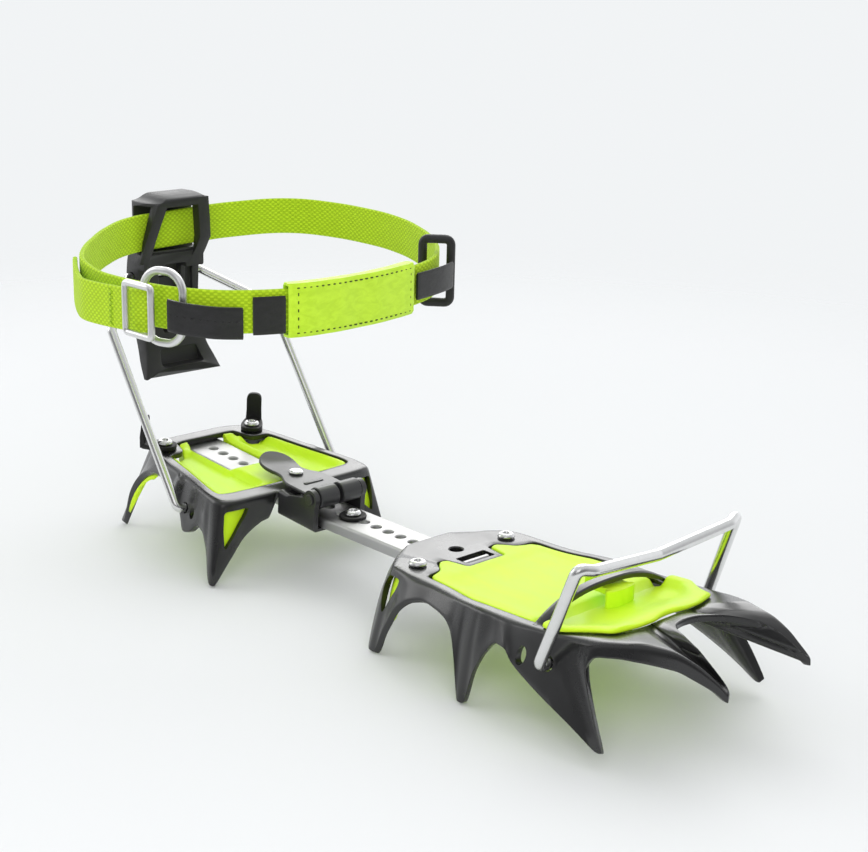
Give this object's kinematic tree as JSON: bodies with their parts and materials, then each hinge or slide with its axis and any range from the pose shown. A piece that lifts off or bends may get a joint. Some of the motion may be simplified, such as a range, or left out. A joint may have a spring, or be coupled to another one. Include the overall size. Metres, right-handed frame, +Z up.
{
  "type": "strap-on crampon",
  "caption": "Mountaineering crampon with front and heel point frames on a linking bar, toe bail, heel lever with ankle strap, and anti-balling plates.",
  "frame": {"origin": "on the ground, under the middle of the whole object's box at rest", "axes": "+X towards the toe, +Y the wearer's left, +Z up"},
  "size_m": [0.3232, 0.159, 0.1351],
  "materials": {
    "black_steel": "satin black coated hardened steel plate, worn to grey metal on the folds and points",
    "adjuster_steel": "satin black coated spring steel",
    "lime_plate": "smooth lime anti-balling plastic, slightly glossy",
    "bar_steel": "bare steel strip, fine rolled grain",
    "wire_steel": "polished stainless wire",
    "rivet_steel": "turned steel rivet heads",
    "lever_plastic": "black moulded nylon with a fine matt texture",
    "tab_rubber": "black rubber",
    "lime_webbing": "lime woven nylon webbing, plain rib weave",
    "sleeve_fabric": "bright lime coated fabric with dark dashed stitching round its border",
    "black_webbing": "black coated webbing tail and keepers"
  },
  "bodies": {
    "front_section": {"front_frame": "black_steel", "front_antiball_plate": "lime_plate", "toe_antiball_plate": "lime_plate", "front_rivet_right": "rivet_steel", "front_rivet_left": "rivet_steel"},
    "link_bar": {"spine_bar": "bar_steel", "bar_stop_washer": "tab_rubber", "bar_stop_rivet": "rivet_steel"},
    "heel_section": {"heel_frame": "black_steel", "heel_antiball_plate": "lime_plate", "heel_rivet_right": "rivet_steel", "heel_rivet_left": "rivet_steel", "heel_stop_tab_right": "tab_rubber", "heel_stop_tab_left": "tab_rubber", "adjuster_bracket": "adjuster_steel", "adjuster_hinge_pin": "rivet_steel"},
    "adjuster": {"adjuster_lever": "adjuster_steel", "adjuster_lock_pin": "rivet_steel"},
    "heel_bail": {"heel_wire": "wire_steel"},
    "heel_clip": {"heel_lever": "lever_plastic", "ankle_strap": "lime_webbing", "strap_return": "lime_webbing", "strap_sleeve": "sleeve_fabric", "strap_tail": "black_webbing", "strap_keeper_front": "black_webbing", "strap_keeper_rear": "black_webbing", "strap_slide_ring": "wire_steel", "strap_oval_ring": "wire_steel", "strap_end_ring": "lever_plastic"},
    "front_bail": {"toe_bail": "wire_steel"}
  },
  "joints": [
    {"name": "bar_hook_hinge", "type": "hinge", "parent": "front_section", "child": "link_bar", "pos_m": [0.0346, 0.00873, 0.02447], "axis": [0, 1, 0], "range_deg": [-2.2, 2.2]},
    {"name": "heel_size_slide", "type": "slide", "parent": "link_bar", "child": "heel_section", "axis": [-0.9976, 0, 0.0698], "range_m": [0, 0.048]},
    {"name": "adjuster_lever_hinge", "type": "hinge", "parent": "heel_section", "child": "adjuster", "pos_m": [-0.04212, 0.00873, 0.03377], "axis": [0, 1, 0], "range_deg": [0, 28], "stiffness_Nm_per_rad": 0.25, "springref_deg": -11.46},
    {"name": "heel_wire_hinge", "type": "hinge", "parent": "heel_section", "child": "heel_bail", "pos_m": [-0.0892, 0.00873, 0.02327], "axis": [0, 1, 0], "range_deg": [-18, 30]},
    {"name": "heel_lever_hinge", "type": "hinge", "parent": "heel_bail", "child": "heel_clip", "pos_m": [-0.1556, 0.00873, 0.10097], "axis": [0, -1, 0], "range_deg": [0, 100]},
    {"name": "toe_bail_hinge", "type": "hinge", "parent": "front_section", "child": "front_bail", "pos_m": [0.1043, 0.00873, 0.02467], "axis": [0, 1, 0], "range_deg": [-68, 40]}
  ]
}
